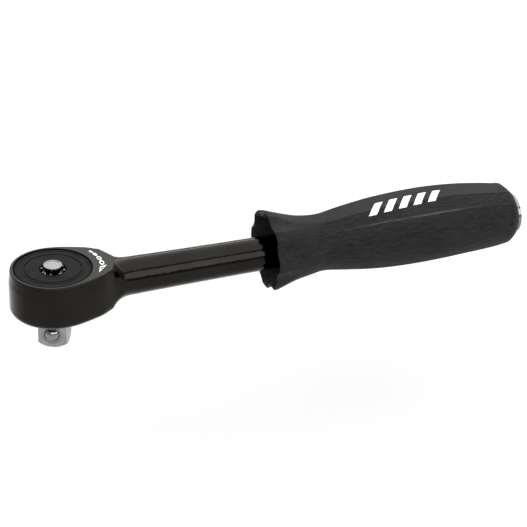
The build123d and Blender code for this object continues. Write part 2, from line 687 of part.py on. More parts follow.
# a slotted spring pin, rolled from sheet, a little below the surface of the neck
with BuildPart() as stop_pin:
    with BuildSketch(stop_plane.offset(PLUNGER_FLAT + RUNNING_GAP)):
        Circle(STOP_PIN_R)
        Circle(STOP_PIN_R - STOP_PIN_WALL, mode=Mode.SUBTRACT)
        with Locations((-STOP_PIN_R, 0)):
            Rectangle(STOP_PIN_R, STOP_PIN_SLOT, mode=Mode.SUBTRACT)
    extrude(amount=STOP_PIN_LENGTH)
save(stop_pin.part, "stop_pin")

# ---------------------------------------------------------------- detent under the dial
with BuildPart() as detent_ball:
    with Locations((-DETENT_RADIUS, 0, DIAL_FLOOR + DETENT_PROUD - DETENT_R)):
        Sphere(DETENT_R)
save(detent_ball.part, "detent_ball")

detent_spring_top = DIAL_FLOOR + DETENT_PROUD - 2 * DETENT_R - SPRING_GAP - DETENT_WIRE / 2
detent_spring_bottom = DETENT_FLOOR + DETENT_WIRE / 2
save(
    coil_spring(
        (-DETENT_RADIUS, 0, detent_spring_bottom),
        (0, 0, 1),
        DETENT_R - DETENT_WIRE / 2 - RUNNING_GAP,
        DETENT_WIRE,
        detent_spring_top - detent_spring_bottom,
        5,
    ),
    "detent_spring",
)

# ---------------------------------------------------------------- grip and its core
with BuildPart() as grip_core:
    with BuildSketch(Plane.YZ.offset(CORE_START)):
        with Locations((0, AXIS_Z)):
            Circle(CORE_R)
    extrude(amount=CORE_END - CORE_START)
    with BuildSketch(Plane.YZ.offset(RIB_START)):
        with Locations((0, AXIS_Z)):
            for turn in range(RIBS // 2):
                Rectangle(2 * (CORE_R + RIB_HEIGHT), RIB_WIDTH, rotation=RIB_TURN + 360 / RIBS * turn)
    extrude(amount=CORE_END - RIB_START)
    core_blank = grip_core.part
    add(head_shank.part, mode=Mode.SUBTRACT)
save(grip_core.part, "grip_core")

with BuildPart() as grip:
    for x, radius, strength, rise in GRIP_STATIONS:
        with BuildSketch(Plane.YZ.offset(x)):
            with BuildLine():
                for start, end, draw_in in GRIP_SPANS:
                    crown = radius * (1 - strength * draw_in)
                    ThreePointArc(grip_point(start, radius, rise), grip_point((start + end) / 2, crown, rise),
                                  grip_point(end, radius, rise))
            make_face()
    loft()
    # flutes that scallop the front flange and die out in the waist
    for turn in range(FLUTES):
        flute_angle = 360.0 / FLUTES * (turn + 0.5)
        flute_start, flute_end = (Vector(x, *grip_point(flute_angle, r, rise)) for x, r, rise in FLUTE_LINE)
        with BuildSketch(Plane(origin=flute_start, z_dir=flute_end - flute_start)):
            Circle(FLUTE_R)
        extrude(amount=(flute_end - flute_start).length, mode=Mode.SUBTRACT)
    # cup round the shank in the front of the flange, and the passage for the shank
    add(turned(((GRIP_START - 1, CUP_MOUTH_R), (GRIP_START, CUP_MOUTH_R), (CUP_FLOOR_X, CUP_FLOOR_R))),
        mode=Mode.SUBTRACT)
    add(turned(((CUP_FLOOR_X - 1, SHANK_R), (CORE_START, SHANK_R))), mode=Mode.SUBTRACT)
    # room for the core, and the rear pockets for washer, nut and cap
    add(core_blank, mode=Mode.SUBTRACT)
    add(turned(((CORE_END, REAR_POCKET[0]), (REAR_POCKET[1], REAR_POCKET[0]))), mode=Mode.SUBTRACT)
    with BuildSketch(Plane.YZ.offset(REAR_POCKET[1])):
        with Locations((0, CAP_Z)):
            Circle(CAP_R)
    extrude(amount=GRIP_STATIONS[-1][0] - REAR_POCKET[1], mode=Mode.SUBTRACT)
save(grip.part, "grip")

# ---------------------------------------------------------------- rear fastening and end cap
save(turned_ring(CORE_END, WASHER_THICK, THREAD_R, WASHER_R), "tang_washer")

with BuildPart() as tang_nut:
    with BuildSketch(Plane.YZ.offset(CORE_END + WASHER_THICK)):
        with Locations((0, AXIS_Z)):
            RegularPolygon(NUT_FLATS / 2, 6, major_radius=False)
            Circle(THREAD_R, mode=Mode.SUBTRACT)
    extrude(amount=NUT_THICK)
    chamfer(tang_nut.edges().group_by(Axis.X)[-1].filter_by(GeomType.LINE), NUT_CHAMFER)
save(tang_nut.part, "tang_nut")

with BuildPart() as end_cap:
    with BuildSketch(Plane.XZ):
        with BuildLine():
            for start, rim_r, crown_x in (
                (CAP_START, CAP_R, CAP_RIM_X + CAP_DOME),
                (CAP_START, CAP_R - CAP_WALL, CAP_RIM_X + CAP_DOME - CAP_WALL),
            ):
                Line((start, CAP_Z + rim_r), (CAP_RIM_X - CAP_EDGE, CAP_Z + rim_r))
                TangentArc((crown_x, CAP_Z), (CAP_RIM_X - CAP_EDGE, CAP_Z + rim_r), tangent=(0, 1))
            Line((CAP_START, CAP_Z + CAP_R), (CAP_START, CAP_Z + CAP_R - CAP_WALL))
            Line((CAP_RIM_X + CAP_DOME, CAP_Z), (CAP_RIM_X + CAP_DOME - CAP_WALL, CAP_Z))
        make_face()
    revolve(axis=CAP_AXIS)
save(end_cap.part, "end_cap")
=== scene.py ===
"""Looks of the reversible ratchet wrench: camera, studio, finishes, moulded grip, springs and printed marks."""
from math import cos, degrees, exp, pi, radians, sin, sqrt

import bmesh
import bpy
from mathutils import Matrix, Vector


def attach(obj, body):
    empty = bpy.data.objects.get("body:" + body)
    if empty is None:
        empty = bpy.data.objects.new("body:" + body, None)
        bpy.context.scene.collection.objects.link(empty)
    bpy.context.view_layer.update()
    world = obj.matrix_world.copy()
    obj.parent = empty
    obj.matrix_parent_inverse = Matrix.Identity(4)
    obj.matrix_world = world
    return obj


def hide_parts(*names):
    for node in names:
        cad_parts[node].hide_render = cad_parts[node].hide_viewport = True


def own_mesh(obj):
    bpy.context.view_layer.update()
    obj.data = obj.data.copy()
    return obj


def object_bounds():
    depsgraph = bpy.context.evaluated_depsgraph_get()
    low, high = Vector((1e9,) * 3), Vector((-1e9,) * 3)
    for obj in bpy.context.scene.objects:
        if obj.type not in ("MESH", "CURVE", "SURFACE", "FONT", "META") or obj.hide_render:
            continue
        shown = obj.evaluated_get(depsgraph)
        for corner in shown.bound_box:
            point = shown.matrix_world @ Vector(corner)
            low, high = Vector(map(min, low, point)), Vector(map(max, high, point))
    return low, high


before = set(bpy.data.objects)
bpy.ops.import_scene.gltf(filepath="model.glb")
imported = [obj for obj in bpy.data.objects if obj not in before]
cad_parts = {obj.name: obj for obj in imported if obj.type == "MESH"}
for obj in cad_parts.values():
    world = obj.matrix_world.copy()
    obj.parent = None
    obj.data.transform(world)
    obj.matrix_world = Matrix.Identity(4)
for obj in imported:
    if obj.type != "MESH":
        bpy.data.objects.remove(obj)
cad_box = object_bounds()

MM = 0.001
AXIS_Z = 8.75  # height of the handle's axis over the drive square's shoulder, in mm

# ---------------------------------------------------------------- camera
CAMERA_AIM = (0.06451, -0.02446, 0.01939)
CAMERA_DISTANCE = 0.6552
CAMERA_AZIMUTH = -22.1
CAMERA_ELEVATION = 29.228
CAMERA_ROLL = 1.589
FOCAL_LENGTH = 136.6
SENSOR_WIDTH = 36.0
CLIP_END = 20.0


def place_camera():
    """A long lens, looking down on the tool from the left of the handle."""
    aim = Vector(CAMERA_AIM)
    azimuth, elevation, roll = radians(CAMERA_AZIMUTH), radians(CAMERA_ELEVATION), radians(CAMERA_ROLL)
    back = Vector((sin(azimuth) * cos(elevation), -cos(azimuth) * cos(elevation), sin(elevation)))
    right = Vector((cos(azimuth), sin(azimuth), 0.0))
    up = back.cross(right)
    tilted_right = right * cos(roll) + up * sin(roll)
    tilted_up = up * cos(roll) - right * sin(roll)
    data = bpy.data.cameras.new("camera")
    data.sensor_width = SENSOR_WIDTH
    data.lens = FOCAL_LENGTH
    data.clip_end = CLIP_END
    camera = bpy.data.objects.new("camera", data)
    turn = Matrix((tilted_right, tilted_up, back)).transposed().to_4x4()
    camera.matrix_world = Matrix.Translation(aim + back * CAMERA_DISTANCE) @ turn
    bpy.context.collection.objects.link(camera)
    bpy.context.scene.camera = camera


# ---------------------------------------------------------------- node helpers
NOISE_SPAN = (0.3, 0.7)  # most values of a noise texture lie between these


class Nodes:
    """A material under construction, with short calls for the nodes that the finishes share."""

    def __init__(self, name):
        self.material = bpy.data.materials.new(name)
        self.material.use_nodes = True
        self.tree = self.material.node_tree
        self.tree.nodes.clear()
        self.shader = self.tree.nodes.new("ShaderNodeBsdfPrincipled")
        output = self.tree.nodes.new("ShaderNodeOutputMaterial")
        self.link(self.shader.outputs[0], output.inputs["Surface"])
        self.place = self.tree.nodes.new("ShaderNodeTexCoord").outputs["Object"]

    def link(self, source, target):
        self.tree.links.new(source, target)

    def set(self, **values):
        """Sets constants on the shader's sockets, each named with _ for a space."""
        for key, value in values.items():
            self.shader.inputs[key.replace("_", " ")].default_value = value

    def feed(self, socket, value):
        """Links a value to one of the shader's sockets."""
        self.link(value, self.shader.inputs[socket])

    def vary(self, socket, scale, detail, low, high):
        """Feeds a shader socket from a noise, between two numbers or two colours."""
        self.feed(socket, self.ramp(self.noise(scale, detail), low, high, *NOISE_SPAN))

    def scaled(self, scale, offset=(0, 0, 0)):
        """The place on the object, stretched and moved."""
        node = self.tree.nodes.new("ShaderNodeMapping")
        node.inputs["Scale"].default_value = scale
        node.inputs["Location"].default_value = offset
        self.link(self.place, node.inputs["Vector"])
        return node.outputs[0]

    def noise(self, scale, detail, stretch=(1, 1, 1), roughness=0.5, offset=(0, 0, 0)):
        """A noise over the place on the object; its scale is per metre."""
        node = self.tree.nodes.new("ShaderNodeTexNoise")
        node.inputs["Scale"].default_value = scale
        node.inputs["Detail"].default_value = detail
        node.inputs["Roughness"].default_value = roughness
        self.link(self.scaled(stretch, offset), node.inputs["Vector"])
        return node.outputs["Fac"]

    def ramp(self, value, low, high, low_at=0.0, high_at=1.0):
        """Maps a value to a range of numbers, or between two colours."""
        node = self.tree.nodes.new("ShaderNodeMapRange")
        node.inputs["From Min"].default_value = low_at
        node.inputs["From Max"].default_value = high_at
        self.link(value, node.inputs["Value"])
        if isinstance(low, tuple):
            return self.blend(node.outputs["Result"], low, high)
        node.inputs["To Min"].default_value = low
        node.inputs["To Max"].default_value = high
        return node.outputs["Result"]

    def math(self, operation, a, b=0.0):
        """The result of a maths node; each operand is a number or a socket."""
        node = self.tree.nodes.new("ShaderNodeMath")
        node.operation = operation
        for socket, value in zip(node.inputs, (a, b)):
            if isinstance(value, (int, float)):
                socket.default_value = value
            else:
                self.link(value, socket)
        return node.outputs[0]

    def blend(self, factor, a, b):
        """Mixes two colours by a factor; each colour is a tuple or a socket."""
        mix = self.tree.nodes.new("ShaderNodeMix")
        mix.data_type = "RGBA"
        for socket, value in (("A", a), ("B", b)):
            if isinstance(value, tuple):
                mix.inputs[socket].default_value = (*value, 1.0)
            else:
                self.link(value, mix.inputs[socket])
        self.link(factor, mix.inputs["Factor"])
        return mix.outputs["Result"]

    def coordinates(self):
        """The place on the object as sockets X, Y and Z, in metres."""
        parts = self.tree.nodes.new("ShaderNodeSeparateXYZ")
        self.link(self.place, parts.inputs[0])
        return parts.outputs

    def radius(self):
        """The distance from the drive axis, in mm."""
        place = self.coordinates()
        squares = self.math(
            "ADD", self.math("POWER", place["X"], 2.0), self.math("POWER", place["Y"], 2.0)
        )
        return self.math("DIVIDE", self.math("SQRT", squares), MM)

    def bump(self, height, distance):
        """Relief from a height, as deep as the distance in metres."""
        node = self.tree.nodes.new("ShaderNodeBump")
        node.inputs["Distance"].default_value = distance
        self.link(height, node.inputs["Height"])
        self.feed("Normal", node.outputs[0])


# ---------------------------------------------------------------- finishes
TURNING_RATE = 21.0  # how fast the dial's turning marks follow each other, in radians per mm
TURNING_UNEVEN = 0.6
CLIP_TIP = (15.9, 16.15)  # heights over which the clip's plating ends and its bare tips start, in mm


def black_nickel():
    """Polished black plate of the forged head and shank."""
    m = Nodes("black_nickel")
    m.set(Metallic=1.0, Specular_Tint=(0.95, 0.94, 0.91, 1.0))
    m.vary("Base Color", 60.0, 3.0, (0.0148, 0.014, 0.0128), (0.020, 0.0185, 0.0166))
    m.vary("Roughness", 260.0, 6.0, 0.05, 0.13)
    m.bump(m.noise(90.0, 2.0), 0.00002)
    return m.material


def black_dial():
    """Satin black with the fine rings that turning leaves."""
    m = Nodes("black_dial")
    m.set(Metallic=0.0, Specular_IOR_Level=0.035)
    rings = m.math("SINE", m.math("MULTIPLY", m.radius(), TURNING_RATE))
    uneven = m.noise(300.0, 4.0)
    m.feed("Base Color", m.ramp(uneven, (0.003, 0.003, 0.0032), (0.008, 0.008, 0.0085), *NOISE_SPAN))
    m.feed("Roughness", m.ramp(rings, 0.34, 0.46, -1.0, 1.0))
    m.bump(m.math("ADD", rings, m.math("MULTIPLY", uneven, TURNING_UNEVEN)), 0.000004)
    return m.material


def satin_chrome():
    """Satin plate of the drive square and its gear."""
    m = Nodes("satin_chrome")
    m.set(Metallic=1.0)
    m.vary("Base Color", 350.0, 5.0, (0.235, 0.235, 0.243), (0.295, 0.295, 0.304))
    m.vary("Roughness", 900.0, 3.0, 0.30, 0.42)
    m.bump(m.noise(2500.0, 2.0, (1, 1, 0.15)), 0.000004)
    return m.material


def bright_chrome():
    """Polished plate of the button, the balls and the end cap."""
    m = Nodes("bright_chrome")
    m.set(Metallic=1.0)
    m.vary("Base Color", 200.0, 3.0, (0.185, 0.18, 0.175), (0.25, 0.244, 0.238))
    m.vary("Roughness", 1200.0, 3.0, 0.05, 0.14)
    return m.material


def brass_retainer():
    """Dark plated clip whose bare copper-coloured tips show round the button."""
    m = Nodes("brass_retainer")
    m.set(Metallic=1.0)
    start, full = (height * MM for height in CLIP_TIP)
    tip = m.ramp(m.coordinates()["Z"], 0.0, 1.0, start, full)
    bare = m.ramp(m.noise(500.0, 4.0), (0.16, 0.13, 0.11), (0.28, 0.22, 0.19), *NOISE_SPAN)
    m.feed("Base Color", m.blend(tip, (0.012, 0.011, 0.010), bare))
    m.vary("Roughness", 900.0, 3.0, 0.18, 0.34)
    return m.material


def spring_steel():
    """Ground and oiled steel of the parts inside."""
    m = Nodes("spring_steel")
    m.set(Metallic=1.0)
    m.vary("Base Color", 700.0, 4.0, (0.34, 0.34, 0.35), (0.48, 0.48, 0.49))
    m.vary("Roughness", 1500.0, 3.0, 0.22, 0.38)
    m.bump(m.noise(3000.0, 2.0), 0.000003)
    return m.material


def black_oxide():
    """Dark ring round the dial, and the stop pin's dark hole."""
    m = Nodes("black_oxide")
    m.set(Specular_IOR_Level=0.06)
    m.vary("Base Color", 600.0, 4.0, (0.001, 0.001, 0.001), (0.003, 0.003, 0.0032))
    m.vary("Roughness", 900.0, 3.0, 0.40, 0.60)
    return m.material


def seal_rubber():
    """Moulded ring on the gear's lower journal."""
    m = Nodes("seal_rubber")
    m.vary("Base Color", 800.0, 4.0, (0.010, 0.010, 0.010), (0.018, 0.018, 0.018))
    m.vary("Roughness", 900.0, 3.0, 0.45, 0.65)
    m.bump(m.noise(2500.0, 2.0), 0.00001)
    return m.material


def core_plastic():
    """Hard inner sleeve of the grip."""
    m = Nodes("core_plastic")
    m.vary("Base Color", 300.0, 5.0, (0.018, 0.018, 0.018), (0.032, 0.032, 0.031))
    m.vary("Roughness", 1500.0, 3.0, 0.5, 0.7)
    m.bump(m.noise(2500.0, 2.0, (0.2, 1, 1)), 0.00001)
    return m.material


# painted highlight along each side ridge, a lighter line in the base colour in place of the light the ridges
# catch: how far over the axis its angle is measured from, that angle from straight up and the line's half width
# in degrees, where it starts to come and to go, and over what length
RIDGE_HIGHLIGHT_RISE = 0.8
RIDGE_HIGHLIGHT_ANGLE = 46.0
RIDGE_HIGHLIGHT_WIDTH = 2.0
RIDGE_HIGHLIGHT_SPAN = (98.0, 135.0)
RIDGE_HIGHLIGHT_FADE = 22.0
RIDGE_HIGHLIGHT_COLOUR = (0.075, 0.075, 0.077)


def grip_plastic():
    """Matte black moulding, rubbed lengthwise to a fine fibrous grain, with a painted highlight along its side
    ridges.
    """
    m = Nodes("grip_plastic")
    m.set(Specular_IOR_Level=0.14)
    grain = m.noise(2000.0, 5.0, (0.09, 1, 1), 0.65)
    fibres = m.noise(4200.0, 3.0, (0.05, 1, 1), 0.6, (0.3, 0.1, 0.2))
    speckle = m.noise(3200.0, 3.0, roughness=0.7)
    cloud = m.noise(90.0, 4.0, (0.3, 1, 1))
    mixed = m.math("ADD", m.math("MULTIPLY", grain, 0.5), m.math("MULTIPLY", speckle, 0.3))
    mixed = m.math("ADD", mixed, m.math("MULTIPLY", cloud, 0.2))
    colour = m.ramp(mixed, (0.001, 0.001, 0.0011), (0.017, 0.017, 0.0175), 0.40, 0.60)

    place = m.coordinates()
    # painted highlight: a lighter line along each side ridge, in place of the light that the ridges catch
    height = m.math("SUBTRACT", place["Z"], (AXIS_Z + RIDGE_HIGHLIGHT_RISE) * MM)
    angle = m.math("ARCTAN2", m.math("ABSOLUTE", place["Y"]), height)
    off = m.math("ABSOLUTE", m.math("SUBTRACT", angle, radians(RIDGE_HIGHLIGHT_ANGLE)))
    start, end = ((x * MM, (x + RIDGE_HIGHLIGHT_FADE) * MM) for x in RIDGE_HIGHLIGHT_SPAN)
    painted_highlight = m.ramp(off, 1.0, 0.0, 0.0, radians(RIDGE_HIGHLIGHT_WIDTH))
    painted_highlight = m.math("MULTIPLY", painted_highlight, m.ramp(place["X"], 0.0, 1.0, *start))
    painted_highlight = m.math("MULTIPLY", painted_highlight, m.ramp(place["X"], 1.0, 0.0, *end))
    painted_highlight = m.math("MULTIPLY", painted_highlight, m.ramp(grain, 0.3, 1.0, 0.4, 0.6))

    # base colour of the grain, with the painted ridge highlight mixed in
    m.feed("Base Color", m.blend(painted_highlight, colour, RIDGE_HIGHLIGHT_COLOUR))
    m.feed("Roughness", m.ramp(speckle, 0.50, 0.68, *NOISE_SPAN))
    finest = m.math("ADD", m.math("MULTIPLY", fibres, 0.6), m.math("MULTIPLY", speckle, 0.25))
    m.bump(m.math("ADD", grain, finest), 0.00012)
    return m.material


def mark_paint():
    """White print."""
    m = Nodes("mark_paint")
    m.vary("Base Color", 900.0, 4.0, (0.72, 0.72, 0.71), (0.84, 0.84, 0.83))
    m.vary("Roughness", 1500.0, 3.0, 0.40, 0.55)
    return m.material


FINISHES = {
    make.__name__: make()
    for make in (
        black_nickel, black_dial, satin_chrome, bright_chrome, brass_retainer,
        spring_steel, black_oxide, seal_rubber, core_plastic, grip_plastic,
    )
}


def finish_nodes():
    """Gives every CAD node the procedural finish of its material slot."""
    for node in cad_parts.values():
        for material_slot in node.material_slots:
            finish = material_slot.material.name.split(".")[0]
            material_slot.material = FINISHES[finish]


# ---------------------------------------------------------------- mesh helpers
def new_piece(name, mesh_data, material, body):
    """A piece of the visual model that rides on a CAD body."""
    piece = bpy.data.objects.new(name, mesh_data)
    bpy.context.collection.objects.link(piece)
    piece.data.materials.append(material)
    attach(piece, body)
    return piece


def mesh_from(bm, name, smooth=True):
    """Turns a bmesh given in mm into a mesh in metres, with its normals outward."""
    bmesh.ops.scale(bm, vec=(MM, MM, MM), verts=bm.verts)
    bmesh.ops.recalc_face_normals(bm, faces=bm.faces)
    for face in bm.faces:
        face.smooth = smooth
    data = bpy.data.meshes.new(name)
    bm.to_mesh(data)
    bm.free()
    return data


# ---------------------------------------------------------------- grip
GRIP_START = 75.0
GRIP_END = 168.6
# (distance from the drive axis, radius on the ridges, strength of the facets, rise of the section's centre)
GRIP_STATIONS = (
    (75.0, 14.2, 0.1, 0.95),
    (77.0, 13.9, 0.12, 0.95),
    (80.4, 12.75, 0.15, 0.8),
    (84.2, 11.55, 0.2, 0.57),
    (88.0, 10.7, 0.3, 0.35),
    (95.0, 9.97, 0.6, 0.57),
    (104.0, 11.15, 1.0, 0.72),
    (113.0, 12.33, 1.0, 0.75),
    (123.0, 13.02, 1.0, 0.78),
    (135.0, 13.2, 1.0, 0.85),
    (147.0, 12.65, 1.0, 0.74),
    (157.0, 11.82, 1.0, 0.3),
    (162.0, 11.2, 0.9, 0.12),
    (165.4, 10.6, 0.7, 0.15),
    (167.6, 8.95, 0.4, -0.1),
    (168.6, 7.6, 0.2, -0.4),
)
# facets between the ridges: (first angle, last angle, share by which the middle is drawn in), in degrees
# from straight up
GRIP_SPANS = (
    (-20.0, 20.0, 0.054),
    (20.0, 45.0, 0.021),
    (45.0, 135.0, 0.03),
    (135.0, 160.0, 0.021),
    (160.0, 200.0, 0.054),
    (200.0, 225.0, 0.021),
    (225.0, 315.0, 0.03),
    (315.0, 340.0, 0.021),
)
# fine bead on each ridge: its height, and the angle over which it fades
BEAD = 0.12
BEAD_ANGLE = 1.3
# scallops of the flange: round cuts whose axes lean inward along a line of (x, distance from the axis)
FLUTES = 8
FLUTE_R = 6.0
FLUTE_LINE = ((73.0, 19.0), (93.0, 16.1))
FLUTE_SOFTNESS = 0.4
# rounded lip of the flange, and the cup behind it round the shank
LIP_R = 0.6
LIP_STEPS = 6
CUP_WALL = 1.0
CUP_INSET = 0.25
CUP_FLOOR_X = 87.0
CUP_FLOOR_R = 7.2
CUP_STEPS = 12
# bore for the shank, for the core and its ribbed part, and the stepped pocket for the end cap
SHANK_HOLE_R = 5.95
CORE_START = 88.0
CORE_END = 160.0
CORE_R = 7.65
RIB_START = 106.0
RIB_R = 8.95
POCKET_START = 166.4
POCKET_R = 6.6
CAP_R = 6.85
CAP_DROP = 0.45
CAP_MOUTH = 0.1
# spacing of the outer surface's rings: fine at the rear end, plain over the body, close at the flange
REAR_ROUND = 164.0
FLANGE_END = 96.0
REAR_STEP = 0.35
BODY_STEP = 1.0
FLANGE_STEP = 0.5
AROUND = 360


def station(x):
    """Radius, facet strength and rise at a distance from the drive axis, smooth through the stations."""
    x = min(max(x, GRIP_STATIONS[0][0]), GRIP_STATIONS[-1][0])
    k = next(i for i in range(len(GRIP_STATIONS) - 1) if x <= GRIP_STATIONS[i + 1][0])
    before = GRIP_STATIONS[max(k - 1, 0)]
    start, end = GRIP_STATIONS[k], GRIP_STATIONS[k + 1]
    after = GRIP_STATIONS[min(k + 2, len(GRIP_STATIONS) - 1)]
    span = end[0] - start[0]
    t = (x - start[0]) / span
    values = []
    for c in (1, 2, 3):
        leave = (end[c] - before[c]) / (end[0] - before[0]) * span
        arrive = (after[c] - start[c]) / (after[0] - start[0]) * span
        values.append(
            (2 * t**3 - 3 * t**2 + 1) * start[c] + (t**3 - 2 * t**2 + t) * leave
            + (3 * t**2 - 2 * t**3) * end[c] + (t**3 - t**2) * arrive
        )
    return values


def facet_dip(angle):
    """How far the grip is drawn in between two ridges, from 0 on a ridge to the facet's own share."""
    first = GRIP_SPANS[0][0]
    angle = (angle - first) % 360.0 + first
    for start, end, draw_in in GRIP_SPANS:
        if start <= angle <= end:
            u = (2 * angle - start - end) / (end - start)
            return draw_in * (1 - u * u)
    return 0.0


def ridge_bead(angle):
    """A fine bead along each ridge, full on the ridge and gone a few degrees away."""
    nearest = min(abs((angle - ridge + 180.0) % 360.0 - 180.0) for ridge, *_ in GRIP_SPANS)
    return BEAD * exp(-((nearest / BEAD_ANGLE) ** 2))


def soft_min(a, b, softness):
    """The smaller of two lengths, rounded where they meet."""
    h = max(softness - abs(a - b), 0.0) / softness
    return min(a, b) - h * h * softness / 4


def grip_radius(x, angle):
    """The grip's outer surface, from the middle of its section, at a distance and an angle from straight up."""
    radius, strength, _ = station(x)
    radius *= 1 - strength * facet_dip(angle)
    radius += min(strength, 1.0) * ridge_bead(angle)
    pitch = 360.0 / FLUTES
    off = radians((angle % pitch) - pitch / 2)
    (x0, d0), (x1, d1) = FLUTE_LINE
    middle = d0 + (d1 - d0) * (x - x0) / (x1 - x0)
    reach = FLUTE_R**2 - (middle * sin(off)) ** 2
    if reach <= 0 or x > x1:
        return radius
    return soft_min(radius, middle * cos(off) - sqrt(reach), FLUTE_SOFTNESS)


def round_point(x, radius, rise, angle):
    """A point at a radius and an angle from straight up, round a section's centre."""
    return (x, radius * sin(radians(angle)), AXIS_Z + rise + radius * cos(radians(angle)))


def grip_section(angle):
    """The closed outline of the grip's wall at an angle, as (x, radius, rise), from and to its rear end."""
    # outer surface, from the rear to the flange
    points = []
    x = GRIP_END
    while x > GRIP_START + LIP_R:
        points.append((x, grip_radius(x, angle), station(x)[2]))
        x -= REAR_STEP if x > REAR_ROUND else FLANGE_STEP if x < FLANGE_END else BODY_STEP
    # rounded lip of the flange
    front_rise = station(GRIP_START)[2]
    for step in range(LIP_STEPS + 1):
        turn = radians(90.0 / LIP_STEPS * step)
        x = GRIP_START + LIP_R * (1 - sin(turn))
        points.append((x, grip_radius(x, angle) - LIP_R * (1 - cos(turn)), front_rise))
    # cup round the shank
    mouth_x = GRIP_START + CUP_INSET
    mouth_r = grip_radius(GRIP_START, angle) - CUP_WALL
    for step in range(CUP_STEPS + 1):
        t = step / CUP_STEPS
        points.append((mouth_x + t * (CUP_FLOOR_X - mouth_x), mouth_r + t * (CUP_FLOOR_R - mouth_r),
                       (1 - t) * front_rise))
    # bore, from the cup to the rear
    points += [
        (CUP_FLOOR_X, SHANK_HOLE_R, 0.0),
        (CORE_START, SHANK_HOLE_R, 0.0),
        (CORE_START, CORE_R, 0.0),
        (RIB_START, CORE_R, 0.0),
        (RIB_START, RIB_R, 0.0),
        (CORE_END, RIB_R, 0.0),
        (CORE_END, POCKET_R, 0.0),
        (POCKET_START, POCKET_R, 0.0),
        (POCKET_START, CAP_R, -CAP_DROP),
        (GRIP_END - CAP_MOUTH, CAP_R, -CAP_DROP),
    ]
    return points


def build_grip():
    """The grip as one closed moulding, hollow for the shank, the core and the end cap."""
    bm = bmesh.new()
    angles = [360.0 * k / AROUND for k in range(AROUND)]
    rings = [
        [bm.verts.new(round_point(*point, angle)) for point, angle in zip(ring, angles)]
        for ring in zip(*(grip_section(angle) for angle in angles))
    ]
    for ring, after in zip(rings, rings[1:] + rings[:1]):
        for k in range(AROUND):
            j = (k + 1) % AROUND
            bm.faces.new((ring[k], ring[j], after[j], after[k]))
    mesh_data = mesh_from(bm, "grip_moulding")
    piece = new_piece("grip_moulding", mesh_data, FINISHES["grip_plastic"], "handle")
    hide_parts("grip")


# ---------------------------------------------------------------- springs
# each CAD spring's body, the joint that presses it, its foot and axis, the coil's radius, wire, length and
# turns in mm, the end that stays (0 the foot, 1 the other) and the share of its length that it keeps
SPRINGS = {
    "release_spring": dict(
        body="drive", joint="button_press", foot=(0.0, 0.0, 7.35), axis=(0, 0, 1),
        radius=2.7, wire=0.5, length=5.2, turns=5, fixed_end=0.0, keep=0.555,
    ),
    "plunger_spring": dict(
        body="handle", joint="plunger_slide", foot=(22.3, 0.0, AXIS_Z), axis=(1, 0, 0),
        radius=1.2, wire=0.4, length=2.6, turns=4, fixed_end=1.0, keep=0.79,
    ),
    "detent_spring": dict(
        body="handle", joint="detent_press", foot=(-11.9, 0.0, 9.15), axis=(0, 0, 1),
        radius=0.65, wire=0.3, length=2.86, turns=5, fixed_end=0.0, keep=0.865,
    ),
}
COIL_STEPS = 32
WIRE_SIDES = 12


def build_spring(node, body, joint, foot, axis, radius, wire, length, turns, fixed_end, keep):
    """A coil spring of round wire along its axis, put on its body in place of the CAD spring."""
    foot, axis = Vector(foot), Vector(axis)
    side = Vector((0, 1, 0))
    bm = bmesh.new()
    rings = []
    for k in range(turns * COIL_STEPS + 1):
        turn = 2 * pi * k / COIL_STEPS
        outward = side * cos(turn) + axis.cross(side) * sin(turn)
        along = (axis.cross(outward) * radius + axis * (length / turns / (2 * pi))).normalized()
        middle = foot + axis * (length * k / (turns * COIL_STEPS)) + outward * radius
        across = along.cross(outward)
        rings.append([
            bm.verts.new(middle + (outward * cos(a) + across * sin(a)) * wire / 2)
            for a in (2 * pi * n / WIRE_SIDES for n in range(WIRE_SIDES))
        ])
    for ring, after in zip(rings, rings[1:]):
        for n in range(WIRE_SIDES):
            m = (n + 1) % WIRE_SIDES
            bm.faces.new((ring[n], ring[m], after[m], after[n]))
    bm.faces.new(rings[0])
    bm.faces.new(rings[-1])
    name = node.replace("spring", "coil")
    piece = new_piece(name, mesh_from(bm, name), FINISHES["spring_steel"], body)
    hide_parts(node)
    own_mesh(piece)


# ---------------------------------------------------------------- printed marks
HEAD_TOP = 16.5
PAINT = 0.03
MARK_R = 16.3  # circle round the drive axis on which the direction mark's links lie
# growing links of the direction mark: (angle, half width, half length, size of the hole)
MARK_LINKS = (
    (23.4, 0.42, 0.85, 0.0),
    (15.3, 0.56, 1.1, 0.3),
    (4.8, 0.7, 1.4, 0.5),
    (-6.4, 0.78, 1.5, 0.56),
)
SMALLEST_HOLE = 0.02  # a link without a hole still needs an inner loop
LINK_CORNERS = 40
MARK_ARROW = ((17.34, -3.75), (13.45, -7.8), (14.85, -4.2))
ARROW_HOLE = 0.48
# slanted bars on the grip: first bar's place, pitch, width and slant along the grip in mm, and the angle at
# which a bar starts, the angle it covers and how much further round each next bar stands, in degrees
BARS = 5
BAR_START = 110.5
BAR_PITCH = 5.6
BAR_WIDTH = 3.0
BAR_SLANT = 4.5
BAR_ANGLE = -30.0
BAR_SWEEP = 27.0
BAR_CLIMB = 1.2
BAR_CELLS_ROUND = 24
BAR_CELLS_ALONG = 6


